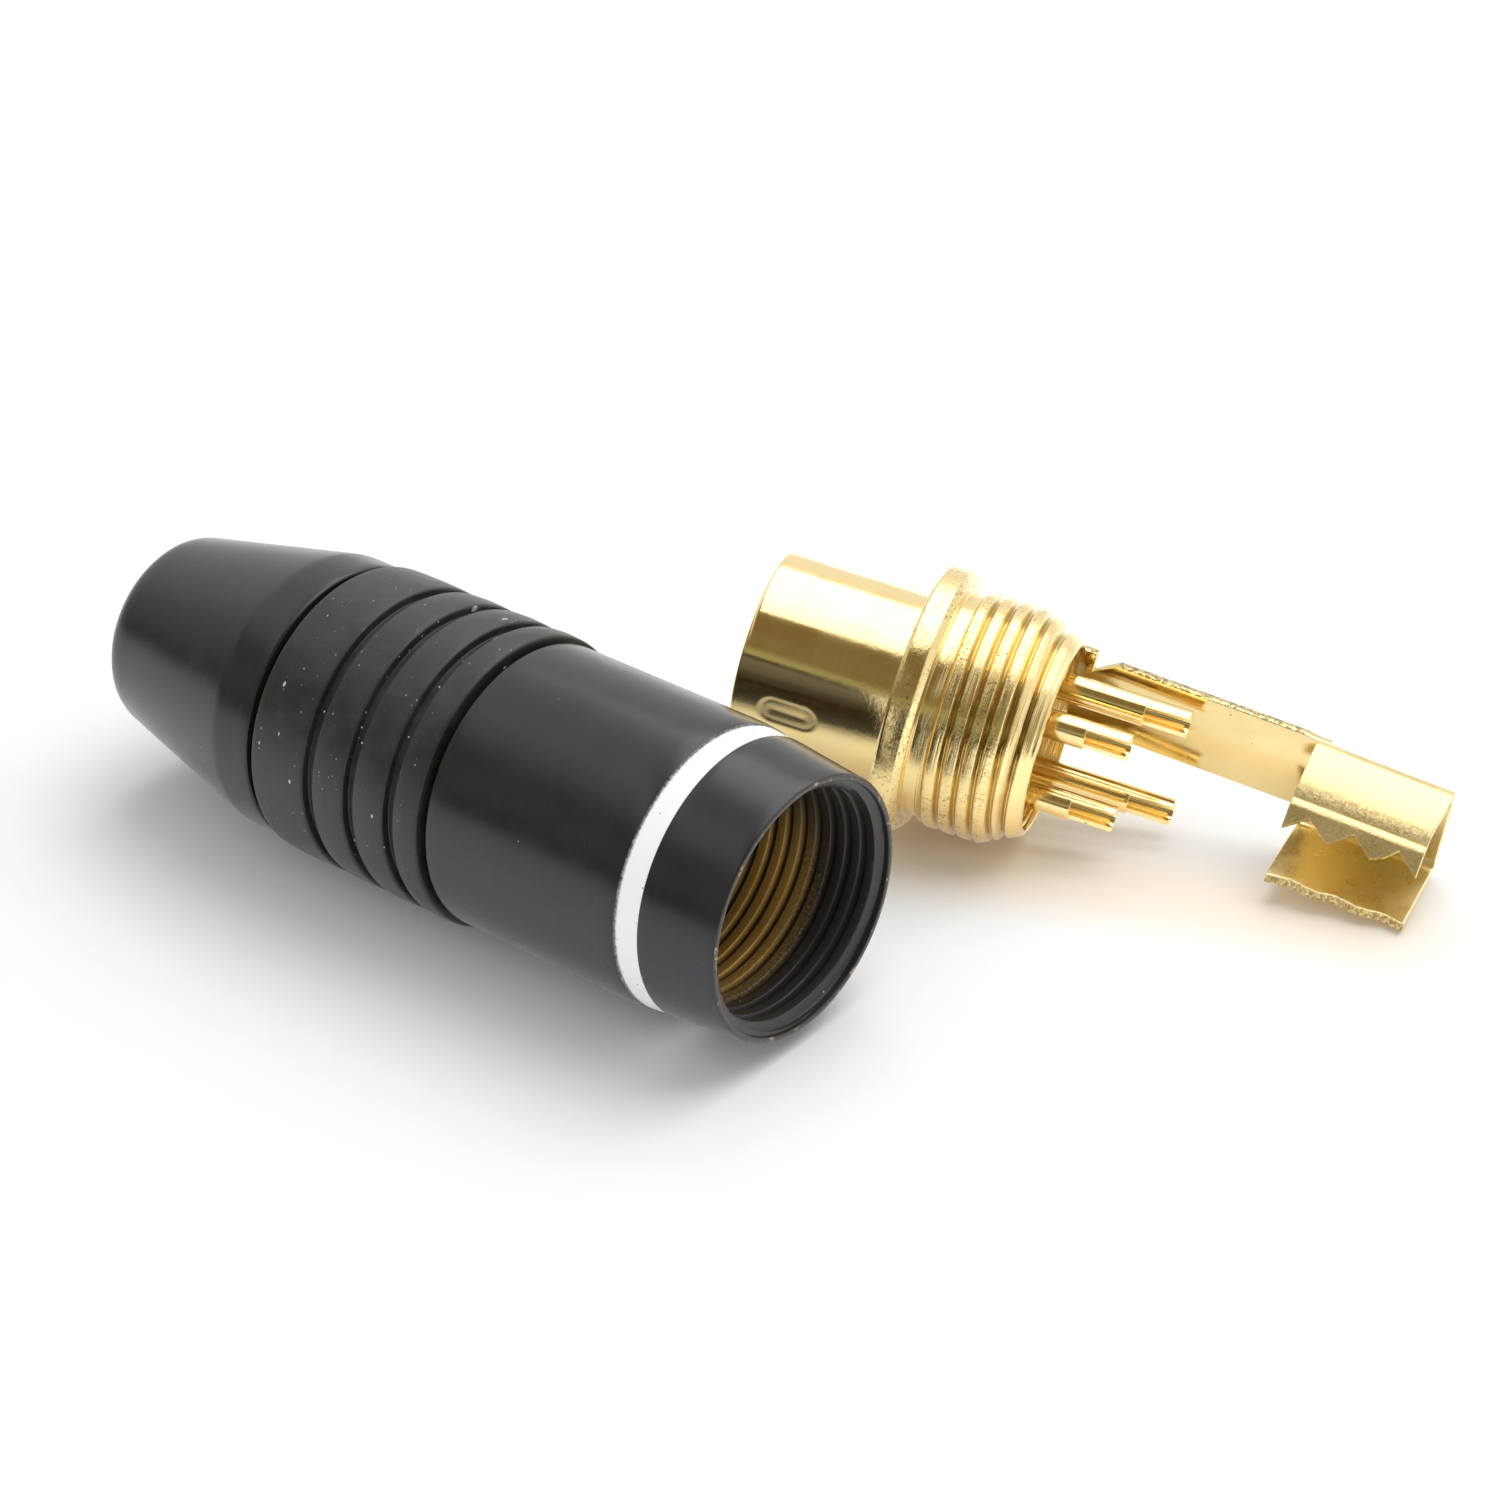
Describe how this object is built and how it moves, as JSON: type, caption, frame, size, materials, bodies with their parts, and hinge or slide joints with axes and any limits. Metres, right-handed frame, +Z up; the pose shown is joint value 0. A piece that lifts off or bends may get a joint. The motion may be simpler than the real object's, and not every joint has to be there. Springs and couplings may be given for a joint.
{
  "type": "mini-din plug",
  "caption": "Mini-DIN solder plug taken apart: a black screw barrel with a ribbed grip sleeve, and a gold plug core with solder contacts and a folded cable clamp.",
  "frame": {"origin": "on the table, under the middle of the box around barrel and core", "axes": "+X along the barrel towards its mouth, +Y towards the core behind it, +Z up"},
  "size_m": [0.0526, 0.035, 0.0135],
  "materials": {
    "black_paint": "satin black paint on brass",
    "black_rubber": "matte",
    "gold_plate": "bright gold plate",
    "pale_plastic": "matte"
  },
  "bodies": {
    "root": {"barrel_shell": "black_paint", "grip_sleeve": "black_rubber", "insulator": "pale_plastic", "key_post": "pale_plastic", "front_shield": "gold_plate", "threaded_collar": "gold_plate", "contact_upper_long": "gold_plate", "contact_upper_short": "gold_plate", "contact_lower_long": "gold_plate", "contact_lower_short": "gold_plate", "cable_clamp": "gold_plate"}
  },
  "joints": []
}
